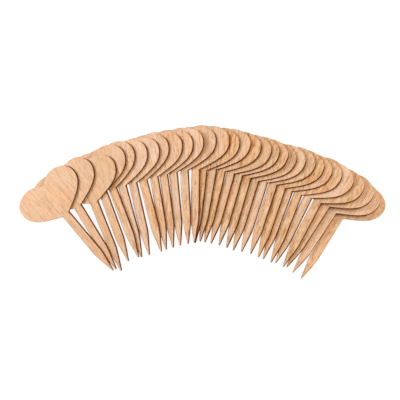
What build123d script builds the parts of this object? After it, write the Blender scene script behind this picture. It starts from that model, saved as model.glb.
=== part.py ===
from build123d import *
import os

import numpy as np
from scipy.optimize import linprog

# One label, cut in one piece from thin wood: a heart head on a pointed stick.
# Lengths are in millimetres and angles in degrees.
THICKNESS = 2.0
STICK_LENGTH = 63.0  # from the point to the shoulder, where the head starts
STICK_WIDTH = 7.5
POINT_LENGTH = 22.0  # the tapered end of the stick
POINT_ROUNDING = 3.5  # stretch of the stick's side that bends into the taper
TIP_WIDTH = 0.9
HEAD_WIDTH = 60.0
HEAD_HEIGHT = 37.0  # from the shoulder to the tops of the lobes
WIDEST_HEIGHT = 24.5  # from the shoulder to the widest place of the head
LOBE_SPACING = 27.0  # between the tops of the two lobes
NOTCH_DEPTH = 5.5
NOTCH_ANGLE = 30.0  # rise of the notch's sides
FLANK_ANGLE = 25.0  # rise of the head's lower edge where it leaves the stick

# The fan: the labels' shoulders lie along an arc, each label over its right-hand neighbour.
FAN_RADIUS = 202.0
SLIP_STEP = 0.5  # unit in which a label's slip off the arc is counted
CLEARANCE = 0.1  # air left under a label where it lies on another
OPENING = 6.0  # most by which the slopes of two neighbours differ

# Each label from left to right: the angle of its shoulder along the arc, the lean of its stick,
# and the number of steps that it has slipped outwards from the arc.
FAN = [
    (-35.1, -40.5, 1),
    (-31.7, -32.0, 1),
    (-27.7, -22.0, -7),
    (-24.7, -20.5, 2),
    (-22.2, -21.0, 1),
    (-19.8, -15.5, -1),
    (-17.1, -13.0, -2),
    (-14.5, -14.5, -2),
    (-11.7, -9.5, -1),
    (-9.3, -7.5, 0),
    (-6.9, -5.5, 2),
    (-4.2, -3.0, 3),
    (-1.4, 1.0, 4),
    (0.4, 6.5, 3),
    (2.7, 10.0, 5),
    (4.9, 13.5, 3),
    (7.2, 16.0, 1),
    (9.2, 16.0, 0),
    (11.3, 16.5, -2),
    (13.3, 17.5, -4),
    (15.5, 18.0, -3),
    (17.9, 18.5, -2),
    (20.1, 19.0, -3),
    (22.0, 21.0, -3),
    (24.4, 22.0, -3),
    (26.9, 26.5, 0),
    (29.5, 28.5, 0),
    (31.7, 33.0, 3),
    (33.9, 34.0, 1),
    (35.9, 32.5, 1),
]

# Handles of the outline's curves
QUARTER_ROUND = 0.5523  # makes a cubic curve follow a quarter of an ellipse
FLANK_FULLNESS = 0.5  # of the head's lower edge, as a share of its span
NOTCH_SOFTNESS = 0.4  # of the notch's sides, as a share of half the lobe spacing

# Working steps of the settling
OUTLINE_STEP = 2.0  # longest straight step that stands for a stretch of a curved edge
SETTLE_PASSES = 10  # rounds, because a label's tilt changes its outline in plan


def direction(angle):
    """Unit vector in the plane of the label, turned anticlockwise from +X."""
    return Vector(1, 0).rotate(Axis.Z, angle)


def right_side():
    """The right half of a label's outline, from the tip round to the notch.

    The label's own origin is at the middle of its shoulders, with +Y along the stick to the head.
    """
    tip = Vector(0, -STICK_LENGTH)
    tip_corner = Vector(TIP_WIDTH / 2, -STICK_LENGTH)
    taper_start = Vector(STICK_WIDTH / 2, POINT_LENGTH - STICK_LENGTH)
    shoulder = Vector(STICK_WIDTH / 2, 0)
    widest = Vector(HEAD_WIDTH / 2, WIDEST_HEIGHT)
    lobe_top = Vector(LOBE_SPACING / 2, HEAD_HEIGHT)
    notch = Vector(0, HEAD_HEIGHT - NOTCH_DEPTH)

    taper_bend = taper_start - Vector(0, POINT_ROUNDING)
    taper_middle = (tip_corner + taper_bend) / 2
    flank_pull = direction(FLANK_ANGLE) * (widest - shoulder).length * FLANK_FULLNESS
    flank_drop = Vector(0, (widest - shoulder).Y * FLANK_FULLNESS)
    lobe_rise = Vector(0, (lobe_top - widest).Y * QUARTER_ROUND)
    lobe_run = Vector((widest - lobe_top).X * QUARTER_ROUND, 0)
    notch_reach = LOBE_SPACING / 2 * NOTCH_SOFTNESS
    notch_pull = direction(NOTCH_ANGLE) * notch_reach

    return Curve() + [
        Line(tip, tip_corner),
        Bezier(tip_corner, taper_middle, taper_bend, taper_start),
        Line(taper_start, shoulder),
        Bezier(shoulder, shoulder + flank_pull, widest - flank_drop, widest),
        Bezier(widest, widest + lobe_rise, lobe_top + lobe_run, lobe_top),
        Bezier(lobe_top, lobe_top - Vector(notch_reach, 0), notch + notch_pull, notch),
    ]


def label_face():
    """The flat face of one label."""
    half = right_side()
    return make_face(half + mirror(half, about=Plane.YZ)).face()


def outline_points(face):
    """Corners of the polygon that stands for the label's outline, as rows of x and y."""
    corners = []
    for edge in face.outer_wire().order_edges():
        steps = 1 if edge.geom_type == GeomType.LINE else int(np.ceil(edge.length / OUTLINE_STEP))
        corners += [edge.position_at(step / steps) for step in range(steps)]
    return np.array([(corner.X, corner.Y) for corner in corners])


def arc_place(angle, slip):
    """Plan position of a label's origin on the fan's arc."""
    reach = FAN_RADIUS + slip * SLIP_STEP
    return np.array([np.sin(np.radians(angle)), np.cos(np.radians(angle))]) * reach


def axes_of(lean, slope):
    """Unit rows along a label's own X, Y and Z, from its stick's lean and its plane's two slopes."""
    heading = np.array([np.sin(np.radians(lean)), np.cos(np.radians(lean))])
    normal = np.array([-slope[0], -slope[1], 1.0])
    normal /= np.linalg.norm(normal)
    along = np.array([heading[0], heading[1], heading @ slope])
    along /= np.linalg.norm(along)
    return np.array([np.cross(along, normal), along, normal])


def inside(points, ring):
    """Which points lie inside a closed ring, by counting the ring's edges to the right of each point."""
    x = points[:, 0, None]
    y = points[:, 1, None]
    start_x, start_y = ring.T
    end_x, end_y = np.roll(ring, -1, axis=0).T
    spans = (start_y > y) != (end_y > y)
    rise = np.where(end_y == start_y, 1.0, end_y - start_y)
    edge_x = start_x + (y - start_y) / rise * (end_x - start_x)
    return (spans & (x < edge_x)).sum(axis=1) % 2 == 1


def crossings(ring, other):
    """Points where the edges of two closed rings cross."""
    edges = (np.roll(ring, -1, axis=0) - ring)[:, None]
    others = (np.roll(other, -1, axis=0) - other)[None]
    gap = other[None] - ring[:, None]
    turn = edges[..., 0] * others[..., 1] - edges[..., 1] * others[..., 0]
    turn = np.where(turn == 0, np.inf, turn)
    share = (gap[..., 0] * others[..., 1] - gap[..., 1] * others[..., 0]) / turn
    other_share = (gap[..., 0] * edges[..., 1] - gap[..., 1] * edges[..., 0]) / turn
    meets = (share > 0) & (share < 1) & (other_share > 0) & (other_share < 1)
    return (ring[:, None] + share[..., None] * edges)[meets]


def overlap_corners(ring, other):
    """Corners of the area that two closed rings share."""
    return np.vstack([ring[inside(ring, other)], other[inside(other, ring)], crossings(ring, other)])


def height_rows(index, points, origins):
    """Rows that turn the list of all planes into the height of one label's underside at each point."""
    rows = np.zeros((len(points), 3 * len(origins)))
    rows[:, 3 * index] = 1.0
    rows[:, 3 * index + 1 : 3 * index + 3] = points - origins[index]
    return rows


def slope_rows(index, count):
    """Rows that turn the list of all planes into the two slopes of one label."""
    rows = np.zeros((2, 3 * count))
    rows[:, 3 * index + 1 : 3 * index + 3] = np.eye(2)
    return rows


def settle(origins, leans, ring):
    """Underside planes of all labels, once the pile is pressed as low as it goes.

    A plane is a height at the label's origin and two slopes. The heights at the middles of the labels'
    lengths add up to the least sum for which every underside is above the table, and above the top of
    each label further right wherever the two overlap in plan. The last label lies flat, and the pile
    opens gradually from there, by no more than the opening from one label to the next.
    """
    middle = np.array([0.0, (HEAD_HEIGHT - STICK_LENGTH) / 2])
    widest = np.tan(np.radians(OPENING))
    count = len(origins)
    free = [(None, None)] * (3 * count - 2)
    flat = [(0, 0)] * 2
    planes = np.zeros((count, 3))
    for _ in range(SETTLE_PASSES):
        axes = [axes_of(lean, plane[1:]) for lean, plane in zip(leans, planes)]
        undersides = [origin + ring @ own[:2, :2] for origin, own in zip(origins, axes)]
        tops = [underside + THICKNESS * own[2, :2] for underside, own in zip(undersides, axes)]
        rows = []
        least = []
        weights = 0
        for upper in range(count):
            pressed = origins[upper] + middle @ axes[upper][:2, :2]
            weights = weights + height_rows(upper, pressed[None], origins)[0]
            rows.append(height_rows(upper, undersides[upper], origins))
            least.append(np.zeros(len(ring)))
            for lower in range(upper + 1, count):
                shared = overlap_corners(undersides[upper], tops[lower])
                upright_thickness = THICKNESS / axes[lower][2, 2]
                rows.append(height_rows(upper, shared, origins) - height_rows(lower, shared, origins))
                least.append(np.full(len(shared), upright_thickness + CLEARANCE))
        for label in range(count - 1):
            opening = slope_rows(label, count) - slope_rows(label + 1, count)
            rows += [opening, -opening]
            least.append(np.full(4, -widest))
        lowest = linprog(weights, -np.vstack(rows), -np.hstack(least), bounds=free + flat)
        planes = lowest.x.reshape(count, 3)
    return planes


def fan_of_labels():
    """All labels as separate solids, standing on z = 0 with the fan's box centred on the Z axis."""
    face = label_face()
    blank = extrude(face, THICKNESS)
    origins = np.array([arc_place(angle, slip) for angle, _, slip in FAN])
    leans = [lean for _, lean, _ in FAN]
    planes = settle(origins, leans, outline_points(face))
    labels = []
    for (x, y), lean, (height, *slope) in zip(origins, leans, planes):
        across, _, normal = axes_of(lean, np.array(slope))
        seat = Plane(origin=(x, y, height), x_dir=tuple(across), z_dir=tuple(normal))
        labels.append(seat * blank)
    box = Compound(labels).bounding_box()
    to_origin = Location((-box.center().X, -box.center().Y, -box.min.Z))
    return [to_origin * label for label in labels]


os.makedirs("parts", exist_ok=True)
for number, label in enumerate(fan_of_labels(), start=1):
    export_step(label, f"parts/label_{number:02d}.step")
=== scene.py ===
# %% [markdown]
# A fan of plant labels
#
# Thirty thin wooden plant labels lie in a fan, each over its right-hand neighbour. A label is one piece of
# wood, cut with a hot beam that leaves its edge scorched: a heart to write on, and a pointed stick for the
# soil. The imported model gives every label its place, so this lesson rebuilds each label where it lies, with
# rounded rims, grain that follows its stick, and a scorched edge.

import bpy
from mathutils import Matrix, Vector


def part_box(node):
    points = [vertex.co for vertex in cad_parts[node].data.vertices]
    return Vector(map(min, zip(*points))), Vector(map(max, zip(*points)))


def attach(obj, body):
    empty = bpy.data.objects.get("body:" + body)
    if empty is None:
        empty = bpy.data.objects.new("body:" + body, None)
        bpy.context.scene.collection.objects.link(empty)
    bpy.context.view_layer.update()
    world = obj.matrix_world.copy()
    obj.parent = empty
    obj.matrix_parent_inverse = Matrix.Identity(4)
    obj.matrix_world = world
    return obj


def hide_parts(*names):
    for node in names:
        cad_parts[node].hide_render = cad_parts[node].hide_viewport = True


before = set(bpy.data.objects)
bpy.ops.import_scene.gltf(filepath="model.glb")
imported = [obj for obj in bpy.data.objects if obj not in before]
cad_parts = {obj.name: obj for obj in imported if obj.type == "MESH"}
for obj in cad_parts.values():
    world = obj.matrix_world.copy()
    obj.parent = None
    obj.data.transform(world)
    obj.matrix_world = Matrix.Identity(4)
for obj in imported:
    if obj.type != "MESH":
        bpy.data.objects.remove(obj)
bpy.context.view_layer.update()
label_names = sorted(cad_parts)
print(len(label_names), "labels loaded")

# %% [markdown]
# The shape of one label
#
# All labels are cut to one outline. Its right half runs from the middle of the tip up the taper and the side
# of the stick, out along the flank, over the lobe and down into the notch. It could be drawn as a curve
# object, but here each stretch is a row of four corners, so all its points come from one product of arrays
# and can carry measures for the finishes. The label's own origin is at the middle of its shoulders, where the
# stick meets the heart, with y along the stick towards the heart.

# %% Sizes of one label
import numpy as np

MM = 0.001
THICKNESS = 2.0 * MM
STICK_LENGTH = 63.0 * MM
STICK_WIDTH = 7.5 * MM
POINT_LENGTH = 22.0 * MM
POINT_ROUNDING = 3.5 * MM
TIP_WIDTH = 0.9 * MM
HEAD_WIDTH = 60.0 * MM
HEAD_HEIGHT = 37.0 * MM
WIDEST_HEIGHT = 24.5 * MM
LOBE_SPACING = 27.0 * MM
NOTCH_DEPTH = 5.5 * MM
NOTCH_ANGLE = 30.0
FLANK_ANGLE = 25.0
print("one label is", round((STICK_LENGTH + HEAD_HEIGHT) / MM), "mm long")

# %% Curves of the outline
QUARTER_ROUND = 0.5523
FLANK_FULLNESS = 0.5
NOTCH_SOFTNESS = 0.4


def heading(degrees):
    """Unit vector turned anticlockwise from x by the given angle."""
    return np.array([np.cos(np.radians(degrees)), np.sin(np.radians(degrees))])


def straight(start, end):
    """A straight stretch as a cubic curve: its two inner corners lie at the thirds."""
    return np.array([start, start + (end - start) / 3, end - (end - start) / 3, end])


def outline_curves():
    """Corners of the six stretches of the right half, one row of four corners for each stretch."""
    tip = np.array([0.0, -STICK_LENGTH])
    tip_corner = np.array([TIP_WIDTH / 2, -STICK_LENGTH])
    taper_start = np.array([STICK_WIDTH / 2, POINT_LENGTH - STICK_LENGTH])
    shoulder = np.array([STICK_WIDTH / 2, 0.0])
    widest = np.array([HEAD_WIDTH / 2, WIDEST_HEIGHT])
    lobe_top = np.array([LOBE_SPACING / 2, HEAD_HEIGHT])
    notch = np.array([0.0, HEAD_HEIGHT - NOTCH_DEPTH])

    taper_bend = taper_start - [0, POINT_ROUNDING]
    flank_pull = heading(FLANK_ANGLE) * np.linalg.norm(widest - shoulder) * FLANK_FULLNESS
    flank_drop = [0, WIDEST_HEIGHT * FLANK_FULLNESS]
    lobe_rise = [0, (HEAD_HEIGHT - WIDEST_HEIGHT) * QUARTER_ROUND]
    lobe_run = [(HEAD_WIDTH - LOBE_SPACING) / 2 * QUARTER_ROUND, 0]
    notch_reach = LOBE_SPACING / 2 * NOTCH_SOFTNESS
    return np.array([
        straight(tip, tip_corner),
        [tip_corner, (tip_corner + taper_bend) / 2, taper_bend, taper_start],
        straight(taper_start, shoulder),
        [shoulder, shoulder + flank_pull, widest - flank_drop, widest],
        [widest, widest + lobe_rise, lobe_top + lobe_run, lobe_top],
        [lobe_top, lobe_top - [notch_reach, 0], notch + heading(NOTCH_ANGLE) * notch_reach, notch],
    ])


curves = outline_curves()
print("outline stretches:", len(curves))

# %% Points along the outline
STEPS_OF_STRETCHES = (2, 18, 12, 26, 20, 16)


def outline_rows():
    """Where along the outline the rows of the mesh lie: a stretch's number plus the share along it."""
    stretches = [number + np.arange(steps) / steps for number, steps in enumerate(STEPS_OF_STRETCHES)]
    return np.append(np.concatenate(stretches), len(STEPS_OF_STRETCHES))


def outline_at(rows):
    """Points of the outline: a curve's corners weighted by (1-t)^3, 3t(1-t)^2, 3t^2(1-t) and t^3."""
    number = np.minimum(rows.astype(int), len(curves) - 1)
    t = (rows - number)[:, None]
    weights = np.hstack([(1 - t) ** 3, 3 * t * (1 - t) ** 2, 3 * t**2 * (1 - t), t**3])
    return np.einsum("rc,rcd->rd", weights, curves[number])


rows = outline_rows()
outline = outline_at(rows)
print(len(outline), "points on each half, out to", round(outline[:, 0].max() / MM, 1), "mm")

# %% [markdown]
# The rounded rim
#
# A cut edge is never quite sharp: the beam rounds the rim a little, and that sliver of light is what makes
# thin wood look thick. A Bevel modifier could round it, but here the rim is part of the section, so that
# every ring of the mesh has a known place: the spine in the middle of a face, the rim, the cut wall, and back
# again. To move the outline inwards without pinching its corners, each point moves along its mitre, the
# direction that stays equally far from both edges beside it.

# %% Mitres of the outline
def mitres(points):
    """Outward step that moves both edges beside a point by one.

    It is the sum of the two edges' normals, over one plus the product of the normals.
    """
    mirror = np.array([-1.0, 1.0])
    ring = np.vstack([points[1] * mirror, points, points[-2] * mirror])
    edges = np.diff(ring, axis=0)
    edges /= np.linalg.norm(edges, axis=1, keepdims=True)
    normals = np.stack([edges[:, 1], -edges[:, 0]], axis=1)
    before = normals[:-1]
    after = normals[1:]
    return (before + after) / (1 + (before * after).sum(axis=1, keepdims=True))


mitre = mitres(outline)
print("longest mitre", round(np.linalg.norm(mitre, axis=1).max(), 2))

# %% Spine of the label
# Heights of the spine opposite the outline's corners, from the tip to the notch
SPINE_AT_CORNERS = np.array([-62.5, -62.2, -41.0, 0.0, 15.5, 22.5, 28.0]) * MM


def spine_at(rows):
    """Middle of the label for each row: it climbs the y axis evenly between the outline's corners."""
    heights = np.interp(rows, np.arange(len(SPINE_AT_CORNERS)), SPINE_AT_CORNERS)
    return np.stack([np.zeros_like(heights), heights], axis=1)


spine = spine_at(rows)
print("spine from", spine[0, 1] / MM, "to", spine[-1, 1] / MM, "mm")

# %% Section of the label
RIM = 0.10 * MM
RIM_TURNS = np.radians([0.0, 30.0, 60.0, 90.0])
WALL_HEIGHTS = np.array([0.75, 0.5, 0.25])
FACE_SHARES = np.array([1.0, 0.62, 0.28])


def half_section():
    """Inset, height and share of the way to the spine, from the upper spine round the rim to the lower one.

    On the rim the inset is the rim's radius times one minus the turn's sine, and the height drops by the
    radius times one minus its cosine. The ring before the rim has a share below zero, which stands for the
    halo: the inner end of the brown band of stain and painted shade beside the cut.
    """
    inset = np.concatenate([np.full(len(FACE_SHARES) + 1, RIM), RIM * (1 - np.sin(RIM_TURNS))])
    height = np.concatenate([
        np.full(len(FACE_SHARES) + 1, THICKNESS),
        THICKNESS - RIM * (1 - np.cos(RIM_TURNS)),
    ])
    share = np.concatenate([FACE_SHARES, [-1.0], np.zeros(len(RIM_TURNS))])
    wall = RIM + (THICKNESS - 2 * RIM) * WALL_HEIGHTS
    none = np.zeros(len(wall))
    return (
        np.concatenate([inset, none, inset[::-1]]),
        np.concatenate([height, wall, THICKNESS - height[::-1]]),
        np.concatenate([share, none, share[::-1]]),
    )


inset, height, share = half_section()
print(len(inset), "rings from spine to spine")

# %% Half of the label as one surface
# Widths of the brown band beside the cut; the extra width along lower edges is painted shade under the flanks
HALO = 0.9 * MM
LOWER_SHADE_HALO = 0.6 * MM
HALO_SHARE = 0.4


def half_surface():
    """Surface of two parameters, row along the outline and ring round the section.

    A point is the outline moved in by the ring's inset along the mitre, then taken the ring's share of the
    way to the spine. The halo lies a set distance from the rim, plus a further one times the mitre's share
    downwards, so it is widest along the lower edges, where the brown band is painted shade under the flanks.
    At the narrow tip it stops at a share of the way.
    """
    halo = HALO + LOWER_SHADE_HALO * np.clip(-mitre[:, 1:], 0.0, 1.0)
    rim = outline[:, None] - mitre[:, None] * inset[None, :, None]
    to_spine = spine[:, None] - rim
    reach = np.linalg.norm(to_spine, axis=2)
    part = np.where(share < 0, np.minimum(halo / reach, HALO_SHARE), share)
    flat = rim + to_spine * part[:, :, None]
    upright = np.broadcast_to(height, flat.shape[:2])
    return np.concatenate([flat, upright[:, :, None]], axis=2)


right = half_surface()
print("half surface grid:", right.shape[:2])

# %% [markdown]
# From a half to a closed label
#
# The left half is the mirror image. A Mirror modifier could make it, but then both halves would share one
# grain. Read backwards, its rings carry on where the right half's end, so the two make one closed loop round
# the section, and the label is that loop carried from the tip to the notch. In the first and last rows both
# halves lie on the middle line, so their points are shared, and the mesh closes there.

# %% Close the loop
rings = right.shape[1]
left = right[:, rings - 2 : 0 : -1] * [-1.0, 1.0, 1.0]
local_points = np.concatenate([right, left], axis=1)
loop = local_points.shape[1]


def closed_quads():
    """Corners of the faces: the cells of the grid, with the loop joined to its start and the ends sewn up."""
    index = np.arange(len(rows) * loop).reshape(len(rows), loop)
    index[[0, -1], rings:] = index[[0, -1], rings - 2 : 0 : -1]
    after = np.roll(index, -1, axis=1)
    return np.stack([index[:-1], index[1:], after[1:], after[:-1]], axis=2).reshape(-1, 4)


used, quads = np.unique(closed_quads(), return_inverse=True)
quads = quads.reshape(-1, 4)
local_points = local_points.reshape(-1, 3)[used]
print(len(local_points), "points and", len(quads), "faces in one label")

# %% Places on the cut
def loop_values(values):
    """Spreads a value for each ring of the half over the closed loop and all rows."""
    whole = np.concatenate([values, values[rings - 2 : 0 : -1]])
    return np.tile(whole, len(rows))[used]


def run_along():
    """Length along the outline from the tip, counted backwards on the left half."""
    steps = np.linalg.norm(np.diff(outline, axis=0), axis=1)
    run = np.concatenate([[0.0], np.cumsum(steps)])
    whole = np.hstack([np.tile(run[:, None], rings), np.tile(-run[:, None], rings - 2)])
    return whole.ravel()[used]


wall_points = loop_values((inset == 0).astype(float))
on_wall = wall_points[quads].min(axis=1) > 0
cut_run = run_along()
print(on_wall.sum(), "faces lie on the cut edge")

# %% [markdown]
# Stain and painted shade beside the cut
#
# A brown band lies on the wood next to the cut, dark at the rim and gone after a millimetre or so. A faint
# trace of it all round is the stain that the hot beam leaves. Where it is strong, on the edges that face one
# heading, it is painted shade: it stands in for the dark line of edge and shadow that runs along each label's
# edge. It could be painted by hand as a vertex colour, but a formula treats all labels alike: where the
# outline faces that heading there is most, and everywhere else there is a trace.

# %% Stain and painted shade by direction
SMOKE_AND_SHADE_REACH = 2.0
SMOKE_AND_SHADE_START = 0.28
SMOKE_AND_SHADE_LEAST = 0.26
SMOKE_AND_SHADE_MOST = 1.5


def smoke_and_shade_side(shade_heading):
    """Brown band at each point of a label, strongest on edges that face the given heading: partly stain,
    partly painted shade.

    It is the product of the outline's outward direction and the heading's direction, times a reach, less a
    start, and is kept between a least and a most value.
    """
    outward = mitre / np.linalg.norm(mitre, axis=1, keepdims=True)
    right_share = (outward @ heading(shade_heading))[:, None]
    left_share = (outward * [-1.0, 1.0] @ heading(shade_heading))[:, None]
    whole = np.hstack([np.tile(right_share, rings), np.tile(left_share, rings - 2)])
    return np.clip(SMOKE_AND_SHADE_REACH * whole.ravel()[used] - SMOKE_AND_SHADE_START, SMOKE_AND_SHADE_LEAST, SMOKE_AND_SHADE_MOST)


beside_cut = loop_values((share == 0).astype(float))
print(int(beside_cut.sum()), "points can take smoke")

# %% [markdown]
# Where each label lies
#
# The frame already holds every label where it lies, tilted on the ones under it. The places could be typed in
# once more, but then there would be two lists to keep in step. So three things read from a label's solid give
# its seat: the middle of the solid, its tip, which is the farthest place from the middle, and its thin
# direction.

# %% Seat of a label
TIP_SEARCH = 0.05 * MM


def corners_and_middle(name):
    """Corners of a label's solid, and the mean of its triangles' middles weighted by their areas."""
    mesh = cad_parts[name].data
    corners = np.zeros(len(mesh.vertices) * 3)
    mesh.vertices.foreach_get("co", corners)
    corners = corners.reshape(-1, 3)
    mesh.calc_loop_triangles()
    triangles = np.zeros(len(mesh.loop_triangles) * 3, dtype=int)
    mesh.loop_triangles.foreach_get("vertices", triangles)
    a, b, c = corners[triangles.reshape(-1, 3)].transpose(1, 0, 2)
    areas = np.linalg.norm(np.cross(b - a, c - a), axis=1, keepdims=True)
    return corners, ((a + b + c) / 3 * areas).sum(axis=0) / areas.sum()


def seat_of(name):
    """Origin and rows of axes of a label: across, along the stick, and out of the upper face.

    The thin direction is the one in which the corners spread least. The stick's direction leads from the
    tip, which is the mean of the farthest corners, to the middle of the solid.
    """
    corners, middle = corners_and_middle(name)
    spread = corners - corners.mean(axis=0)
    normal = np.linalg.eigh(spread.T @ spread)[1][:, 0]
    normal *= np.sign(normal[2])
    reach = np.linalg.norm(corners - middle, axis=1)
    tip = corners[reach > reach.max() - TIP_SEARCH].mean(axis=0)
    along = middle - tip
    along -= normal * (along @ normal)
    along /= np.linalg.norm(along)
    across = np.cross(along, normal)
    origin = tip + along * STICK_LENGTH - normal * THICKNESS / 2
    return origin, np.array([across, along, normal])


seats = {name: seat_of(name) for name in label_names}
tilts = [np.degrees(np.arccos(axes[2, 2])) for _, axes in seats.values()]
print("labels tilted by", round(min(tilts), 1), "to", round(max(tilts), 1), "degrees")

# %% [markdown]
# Wood from several boards
#
# The labels in a pack come from different boards: some are pale and plain, some rosy or golden with a
# stronger figure. A random tint for each label would be quicker, but here the darker wood has more figure.
# So each board has a colour and a strength of figure, and each label takes one. A label also remembers where
# in its board it was cut, as an attribute on its points, so that the grain runs along every stick and no two
# labels look the same. The heading of the painted shade beside the cut turns from the first labels to the
# later ones, and the last label, which lies flat with no neighbour beside its edges, takes little of it.

# %% Boards
BOARD_COLOURS = {
    "pale": (0.85, 0.59, 0.40),
    "plain": (0.82, 0.54, 0.34),
    "peach": (0.82, 0.54, 0.34),
    "blush": (0.80, 0.52, 0.315),
    "rosy": (0.80, 0.52, 0.315),
    "tan": (0.78, 0.50, 0.285),
    "golden": (0.76, 0.47, 0.255),
}
BOARD_FIGURES = {
    "pale": 0.9,
    "plain": 0.7,
    "peach": 1.1,
    "blush": 0.7,
    "rosy": 1.4,
    "tan": 1.6,
    "golden": 1.7,
}
# Labels 20 and 28 to 30 take lighter boards than their wood: painted light that offsets the shade under their
# neighbours' raised edges
BOARD_OF_LABEL = """
    plain plain blush plain peach pale pale peach peach peach
    pale peach peach golden peach golden blush rosy tan rosy
    pale rosy golden peach tan pale rosy peach pale rosy
""".split()
print("boards:", ", ".join(BOARD_COLOURS))

# %% Where each label was cut, and its painted shade
BOARD_SPREAD = 0.4
BOARD_SEED = 11
# Share of the painted shade band on the last label, which lies flat with no neighbour beside its edges
LAST_LABEL_SHADE_SHARE = 0.25
# Numbers of three labels and the shade heading's angles there, between which it turns evenly
SHADE_HEADING_LABELS = (1, 12, 15)
SHADE_HEADING_ANGLES = (-18.0, -26.0, -42.0)

count = len(label_names)
board_luck = np.random.default_rng(BOARD_SEED)
cut_places = board_luck.uniform(-BOARD_SPREAD, BOARD_SPREAD, (count, 3))
shade_heading_of_label = np.interp(np.arange(1, count + 1), SHADE_HEADING_LABELS, SHADE_HEADING_ANGLES)
smoke_and_shade_of_label = np.ones(count)
smoke_and_shade_of_label[-1] = LAST_LABEL_SHADE_SHARE
print("drafts from", shade_heading_of_label[0], "to", shade_heading_of_label[-1], "degrees")

# %% [markdown]
# Shader nodes in one line
#
# A finish is a tree of shader nodes. It could be joined by hand in the Shader Editor, but written out it is
# easier to read and to repeat. Such trees get long, so one small helper adds a node, sets it up and joins its
# inputs. The others stand on it, and the most useful one makes the pattern that wood is mostly made of: noise
# stretched along the stick, given by the size of its spots.

# %% Helpers for node trees
import bpy


def node(tree, kind, inputs=None, **settings):
    """Adds a shader node with settings, and fills its inputs with values or joins them to other outputs."""
    made = tree.nodes.new("ShaderNode" + kind)
    for name, value in settings.items():
        setattr(made, name, value)
    for name, value in (inputs or {}).items():
        if isinstance(value, bpy.types.NodeSocket):
            tree.links.new(value, made.inputs[name])
        else:
            made.inputs[name].default_value = value
    return made


def attribute(tree, name, output="Vector"):
    """A value stored on the points of the label."""
    return node(tree, "Attribute", attribute_name=name).outputs[output]


def maths(tree, operation, first, second=0.0):
    """One sum on two numbers."""
    return node(tree, "Math", {0: first, 1: second}, operation=operation).outputs[0]


def between(tree, value, low, high, start, end):
    """Carries value from the stretch low to high over to start to end, with soft ends."""
    inputs = {0: value, 1: low, 2: high, 3: start, 4: end}
    return node(tree, "MapRange", inputs, interpolation_type="SMOOTHSTEP").outputs[0]


def blend(tree, share_of_second, first, second, kind="MIX"):
    """Mixes two colours."""
    inputs = {0: share_of_second, 6: first, 7: second}
    return node(tree, "Mix", inputs, data_type="RGBA", blend_type=kind).outputs[2]


print("node helpers ready")

# %% Noise and empty materials
def spots(tree, place, size, detail=2.0, roughness=0.5):
    """Noise from 0 to 1 whose spots have the given width, length and depth in the board."""
    stretched = node(tree, "VectorMath", {0: place, 1: [1 / side for side in size]}, operation="MULTIPLY")
    inputs = {"Vector": stretched.outputs[0], "Scale": 1.0, "Detail": detail, "Roughness": roughness}
    return node(tree, "TexNoise", inputs).outputs["Fac"]


def new_material(name):
    """An empty node material with its surface shader, ready for a pattern."""
    material = bpy.data.materials.new(name)
    material.use_nodes = True
    tree = material.node_tree
    tree.nodes.clear()
    shader = node(tree, "BsdfPrincipled")
    node(tree, "OutputMaterial", {"Surface": shader.outputs[0]})
    return material, tree, shader


print("noise ready")

# %% [markdown]
# Planed wood
#
# The faces are bare planed wood. From far to near they show a slow drift between warm and cool, soft bands of
# growth, streaks, fine fibres and short dark flecks, all drawn out along the stick. Mixing in a dark colour
# for each layer would muddy the wood where they meet. Instead the layers add up to one level of light and
# dark, and dark grain loses most of its blue and least of its red, as wood does. The figure also gives the
# bump, so light catches it from the side. Beside the cut the wood turns toasted and then dark brown at the
# edge, partly a stain from the cut and partly painted shade.

# %% Layers of the grain
# Width, length and depth of each layer's spots in the board
GRAIN_SPOTS = {
    "drift": dict(size=(14 * MM, 45 * MM, 14 * MM), detail=1.0),
    "bands": dict(size=(2.6 * MM, 60 * MM, 2.6 * MM), detail=3.0, roughness=0.6),
    "streaks": dict(size=(1.5 * MM, 16 * MM, 1.5 * MM), detail=3.0, roughness=0.7),
    "fibres": dict(size=(1.1 * MM, 9 * MM, 1.1 * MM), detail=3.0, roughness=0.8),
    "flecks": dict(size=(1.0 * MM, 3.5 * MM, 1.0 * MM), detail=1.0),
}
# The stretch of the noise that shows, and the level that it turns into: below zero is dark
GRAIN_LEVELS = {
    "bands": dict(low=0.25, high=0.75, start=-0.08, end=0.08),
    "streaks": dict(low=0.48, high=0.64, start=0.06, end=-0.22),
    "fibres": dict(low=0.32, high=0.68, start=-0.14, end=0.18),
    "flecks": dict(low=0.56, high=0.70, start=0.03, end=-0.20),
}


def grain_layers(tree):
    """Noise of each layer at the label's place in its board, and the levels of those that darken the wood."""
    place = attribute(tree, "board_place")
    noise = {name: spots(tree, place, **layer) for name, layer in GRAIN_SPOTS.items()}
    levels = {name: between(tree, noise[name], **stretch) for name, stretch in GRAIN_LEVELS.items()}
    return noise, levels


print("grain layers:", ", ".join(GRAIN_SPOTS))

# %% Colours of the grain and of the stain and painted shade
WARM = (1.04, 0.98, 0.90)
COOL = (0.98, 1.01, 1.03)
DRIFT_STRETCH = (0.3, 0.7)
GRAIN_TINT = (0.60, 1.0, 1.45)
# Tints of the brown band beside the cut: partly a stain from the cut, partly painted shade along the edges
TOASTED_AND_SHADED = (0.72, 0.47, 0.22)
TOASTED_AND_SHADED_STRETCH = (0.0, 0.6)
SMOKE_AND_SHADE_BROWN = (0.30, 0.12, 0.03)
SMOKE_AND_SHADE_BROWN_STRETCH = (0.4, 1.0)


def vectors(tree, operation, first, second):
    """One sum on two colours or places, part by part."""
    return node(tree, "VectorMath", {0: first, 1: second}, operation=operation).outputs[0]


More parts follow.
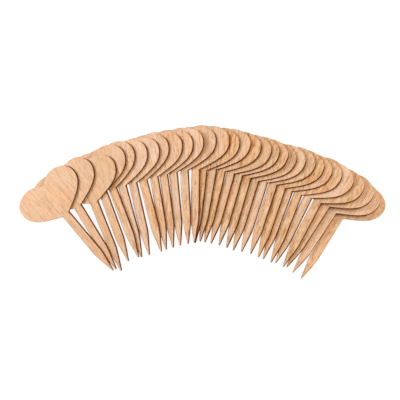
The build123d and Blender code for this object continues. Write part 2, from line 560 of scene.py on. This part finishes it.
def grained(tree, colour, level):
    """Colour times one plus the level times the grain's tint."""
    tint = node(tree, "VectorMath", {0: GRAIN_TINT, "Scale": level}, operation="SCALE").outputs[0]
    return vectors(tree, "MULTIPLY", colour, vectors(tree, "ADD", tint, (1.0, 1.0, 1.0)))


def smoked_and_shaded(tree, colour):
    """Colour multiplied by the toasted tint, and by the dark brown one where the band of stain and painted
    shade is strongest.
    """
    smoke_and_shade = attribute(tree, "smoke_and_shade", "Fac")
    for tint, stretch in ((TOASTED_AND_SHADED, TOASTED_AND_SHADED_STRETCH), (SMOKE_AND_SHADE_BROWN, SMOKE_AND_SHADE_BROWN_STRETCH)):
        share_of_tint = between(tree, smoke_and_shade, *stretch, 0.0, 1.0)
        colour = blend(tree, share_of_tint, colour, (*tint, 1.0), "MULTIPLY")
    return colour


print("in dark grain red loses", round(GRAIN_TINT[0] / GRAIN_TINT[2], 2), "of what blue loses")

# %% Planed wood finish
FIGURE_BUMP = {"Strength": 0.5, "Distance": 0.08 * MM}
PLANED_SHEEN = 0.2
PLANED_ROUGHNESS = dict(low=0.2, high=0.8, start=0.56, end=0.70)


def planed_wood():
    """Board colour with drift, grain, and the band of stain and painted shade. The figure is the fibres,
    streaks and flecks together.
    """
    material, tree, shader = new_material("planed_wood")
    noise, levels = grain_layers(tree)
    drift_share = between(tree, noise["drift"], *DRIFT_STRETCH, 0.0, 1.0)
    drift_tint = blend(tree, drift_share, (*WARM, 1.0), (*COOL, 1.0))
    colour = blend(tree, 1.0, attribute(tree, "board_colour", "Color"), drift_tint, "MULTIPLY")
    figure = maths(tree, "ADD", levels["fibres"], maths(tree, "ADD", levels["streaks"], levels["flecks"]))
    strong_figure = maths(tree, "MULTIPLY", figure, attribute(tree, "figure", "Fac"))
    colour = grained(tree, colour, maths(tree, "ADD", levels["bands"], strong_figure))
    tree.links.new(smoked_and_shaded(tree, colour), shader.inputs["Base Color"])

    bump = node(tree, "Bump", {"Height": figure, **FIGURE_BUMP})
    tree.links.new(bump.outputs[0], shader.inputs["Normal"])
    tree.links.new(between(tree, noise["bands"], **PLANED_ROUGHNESS), shader.inputs["Roughness"])
    shader.inputs["Specular IOR Level"].default_value = PLANED_SHEEN
    return material


planed = planed_wood()
print(planed.name, "has", len(planed.node_tree.nodes), "nodes")

# %% [markdown]
# The scorched edge
#
# The beam leaves the cut wall dark brown, with fine upright streaks and lighter patches where it ran faster.
# This thin dark line is what draws every label's outline in the fan. One flat brown would do from far away,
# but looks like paint from near. The pattern follows the cut, so it reads a second attribute: the run along
# the outline and the height in the board.

# %% Scorched edge finish
CHAR = (0.030, 0.008, 0.002)
TOAST = (0.150, 0.044, 0.007)
SCORCH_STREAKS = (0.2 * MM, 5 * MM, 5 * MM)
SCORCH_PATCHES = (7 * MM, 2 * MM, 20 * MM)
STREAK_TOAST = dict(low=0.3, high=0.7, start=0.3, end=1.0)
PATCH_TOAST = dict(low=0.35, high=0.7, start=0.1, end=1.0)
SCORCH_BUMP = {"Strength": 0.6, "Distance": 0.05 * MM}
SCORCH_SHEEN = 0.05
SCORCH_ROUGHNESS = dict(low=0.3, high=0.7, start=0.9, end=0.75)


def scorched_edge():
    """Char mixed with toasted brown by streaks that stand upright on the wall, times longer patches."""
    material, tree, shader = new_material("scorched_edge")
    place = attribute(tree, "cut_place")
    streaks = spots(tree, place, SCORCH_STREAKS)
    patches = spots(tree, place, SCORCH_PATCHES)
    streak_toast = between(tree, streaks, **STREAK_TOAST)
    patch_toast = between(tree, patches, **PATCH_TOAST)
    toast = maths(tree, "MULTIPLY", streak_toast, patch_toast)
    tree.links.new(blend(tree, toast, (*CHAR, 1.0), (*TOAST, 1.0)), shader.inputs["Base Color"])
    bump = node(tree, "Bump", {"Height": streaks, **SCORCH_BUMP})
    tree.links.new(bump.outputs[0], shader.inputs["Normal"])
    tree.links.new(between(tree, patches, **SCORCH_ROUGHNESS), shader.inputs["Roughness"])
    shader.inputs["Specular IOR Level"].default_value = SCORCH_SHEEN
    return material


scorched = scorched_edge()
print(scorched.name, "has", len(scorched.node_tree.nodes), "nodes")

# %% [markdown]
# Lay out the fan
#
# Every label is the same surface, carried to its seat by one matrix product. Instances of one mesh would be
# lighter, but each label has its own board and its own band of stain and painted shade, which are stored on
# its points. The two finishes share the mesh: faces on the wall take the scorched one. Edges where the wall
# turns a real corner, at the shoulders, the notch and the tip, stay sharp, and everything else shades
# smoothly.

# %% Measures on the points
def store(mesh, name, kind, field, values):
    """Puts one value for each point into the mesh as an attribute."""
    layer = mesh.attributes.new(name, kind, "POINT")
    layer.data.foreach_set(field, np.ascontiguousarray(values, dtype=np.float32).ravel())


def store_measures(mesh, board, smoke_and_shade, cut_place):
    """What the finishes read: place in the board, its colour and figure, the band of stain and painted shade,
    and place on the cut.
    """
    points = len(local_points)
    store(mesh, "board_place", "FLOAT_VECTOR", "vector", local_points + cut_place)
    store(mesh, "board_colour", "FLOAT_COLOR", "color", np.tile([*BOARD_COLOURS[board], 1.0], (points, 1)))
    store(mesh, "figure", "FLOAT", "value", np.full(points, BOARD_FIGURES[board]))
    store(mesh, "smoke_and_shade", "FLOAT", "value", smoke_and_shade)
    on_cut = np.stack([cut_run, local_points[:, 2], np.zeros(points)], axis=1)
    store(mesh, "cut_place", "FLOAT_VECTOR", "vector", on_cut + cut_place)


print("each label stores measures on", len(local_points), "points")

# %% Build the labels
CORNER_ANGLE = np.radians(40)
finishes = [planed, scorched]


def build_label(name, board, smoke_and_shade_share, shade_heading, cut_place):
    """One label at its seat: the shared surface times the seat's axes, plus the seat's origin."""
    origin, axes = seats[name]
    mesh = bpy.data.meshes.new("heart_" + name)
    mesh.from_pydata(origin + local_points @ axes, [], quads.tolist())
    for finish in finishes:
        mesh.materials.append(finish)
    mesh.polygons.foreach_set("material_index", on_wall.astype(np.int32))
    mesh.polygons.foreach_set("use_smooth", np.ones(len(quads), dtype=bool))
    mesh.set_sharp_from_angle(angle=CORNER_ANGLE)
    store_measures(mesh, board, beside_cut * smoke_and_shade_side(shade_heading) * smoke_and_shade_share, cut_place)
    mesh.update()
    piece = bpy.data.objects.new("heart_" + name, mesh)
    bpy.context.scene.collection.objects.link(piece)
    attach(piece, name)
    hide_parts(name)
    return piece


cuts = zip(label_names, BOARD_OF_LABEL, smoke_and_shade_of_label, shade_heading_of_label, cut_places)
pieces = [build_label(*cut) for cut in cuts]
print(len(pieces), "labels built")

# %% Compare each label with its solid
def misfit(piece, name):
    """Largest difference between a label's box and its solid's box."""
    points = np.zeros(len(piece.data.vertices) * 3)
    piece.data.vertices.foreach_get("co", points)
    points = points.reshape(-1, 3)
    low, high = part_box(name)
    return max(abs(points.min(axis=0) - low).max(), abs(points.max(axis=0) - high).max())


worst = max(misfit(piece, name) for piece, name in zip(pieces, label_names))
print("largest misfit", round(worst / MM, 3), "mm")

# %% [markdown]
# Table and light
#
# The fan lies on a plain white table in a warm room. A cool window low at the left makes every label drop a
# short shadow on its right-hand neighbour, and a warm lamp high at the right keeps those shadows soft. Both
# stand a little behind the hearts, so their lower edges are in the shade too. More light would make the table
# white, but bleach the wood. So the table and the room look white to the camera through a glow of their own,
# and the table still takes the fan's shadow. For all other rays the table is white card that throws light
# back under the labels, and the room is dim and warm.

# %% White for the camera
def seen(tree):
    """One for camera, glossy and clear rays, which show a surface, and zero for rays that light others."""
    path = node(tree, "LightPath")
    shown = maths(tree, "MAXIMUM", path.outputs["Is Camera Ray"], path.outputs["Is Glossy Ray"])
    return maths(tree, "MAXIMUM", shown, path.outputs["Is Transmission Ray"])


def grey(level):
    """A colour without tint."""
    return (level, level, level, 1.0)


print("full white is", grey(1.0))

# %% Table
TABLE_HALF = 1.5
TABLE_DROP = 0.05 * MM
TABLE_CARD = 0.85
TABLE_GLOW = 0.93
TABLE_SHADE = 0.14


def table_finish():
    """White card, of which seen rays get a small share of the shading plus a steady glow."""
    material = bpy.data.materials.new("white_card")
    material.use_nodes = True
    tree = material.node_tree
    tree.nodes.clear()
    card = node(tree, "BsdfDiffuse", {"Color": grey(TABLE_CARD)})
    shade = node(tree, "BsdfDiffuse", {"Color": grey(TABLE_SHADE)})
    glow = node(tree, "Emission", {"Color": grey(1.0), "Strength": TABLE_GLOW})
    white = node(tree, "AddShader", {0: shade.outputs[0], 1: glow.outputs[0]})
    either = node(tree, "MixShader", {0: seen(tree), 1: card.outputs[0], 2: white.outputs[0]})
    node(tree, "OutputMaterial", {"Surface": either.outputs[0]})
    return material


corners = np.array([[-1, -1], [1, -1], [1, 1], [-1, 1]]) * TABLE_HALF
table_mesh = bpy.data.meshes.new("table")
table_mesh.from_pydata(np.hstack([corners, np.full((4, 1), -TABLE_DROP)]), [], [[0, 1, 2, 3]])
table_mesh.materials.append(table_finish())
table = bpy.data.objects.new("table", table_mesh)
bpy.context.scene.collection.objects.link(table)
print("table", 2 * TABLE_HALF, "m wide")

# %% Light
from mathutils import Vector

ROOM_COLOUR = (1.0, 0.70, 0.44)
ROOM_LEVEL = 0.30
WINDOW = dict(place=(-0.40, 0.10, 0.36), size=0.25, power=1.48, colour=(0.95, 1.02, 1.16))
CEILING = dict(place=(0.45, 0.12, 0.60), size=0.4, power=3.05, colour=(1.0, 0.95, 0.87))


def soft_lamp(name, place, size, power, colour):
    """A square lamp that faces the fan."""
    lamp = bpy.data.lights.new(name, "AREA")
    lamp.size = size
    lamp.energy = power
    lamp.color = colour
    stand = bpy.data.objects.new(name, lamp)
    stand.location = place
    stand.rotation_euler = (-Vector(place)).to_track_quat("-Z", "Y").to_euler()
    bpy.context.scene.collection.objects.link(stand)


def room():
    """Even light from all round, which looks as white as the table beyond the table's edge."""
    world = bpy.data.worlds.new("room")
    world.use_nodes = True
    tree = world.node_tree
    tree.nodes.clear()
    light = node(tree, "Background", {"Color": (*ROOM_COLOUR, 1.0), "Strength": ROOM_LEVEL})
    white = node(tree, "Background", {"Color": grey(1.0), "Strength": 1.0})
    either = node(tree, "MixShader", {0: seen(tree), 1: light.outputs[0], 2: white.outputs[0]})
    node(tree, "OutputWorld", {"Surface": either.outputs[0]})
    return world


bpy.context.scene.world = room()
soft_lamp("window", **WINDOW)
soft_lamp("ceiling", **CEILING)
print("lamps:", [lamp.name for lamp in bpy.data.lights])

# %% [markdown]
# Camera
#
# The fan is seen from almost straight above, from 65 centimetres away. The lens could be found by trial, but
# it follows from the picture: the sensor's width, times the pixels that one radian takes up, over the
# picture's width in pixels.

# %% Camera
PICTURE_WIDTH = 400
SENSOR_WIDTH = 36.0
PIXELS_PER_RADIAN = 748.5
CAMERA_DISTANCE = 0.65
CAMERA_ELEVATION = np.radians(82.0)
AIM = Vector((-2.33 * MM, 1.45 * MM, 0.0))

camera_data = bpy.data.cameras.new("camera")
camera_data.sensor_width = SENSOR_WIDTH
camera_data.lens = SENSOR_WIDTH * PIXELS_PER_RADIAN / PICTURE_WIDTH
camera = bpy.data.objects.new("camera", camera_data)
back = Vector((0.0, -np.cos(CAMERA_ELEVATION), np.sin(CAMERA_ELEVATION)))
camera.location = AIM + back * CAMERA_DISTANCE
camera.rotation_euler = (-back).to_track_quat("-Z", "Y").to_euler()
bpy.context.scene.collection.objects.link(camera)
bpy.context.scene.camera = camera
bpy.context.scene.view_settings.view_transform = "Standard"
print("lens", round(camera_data.lens, 1), "mm")
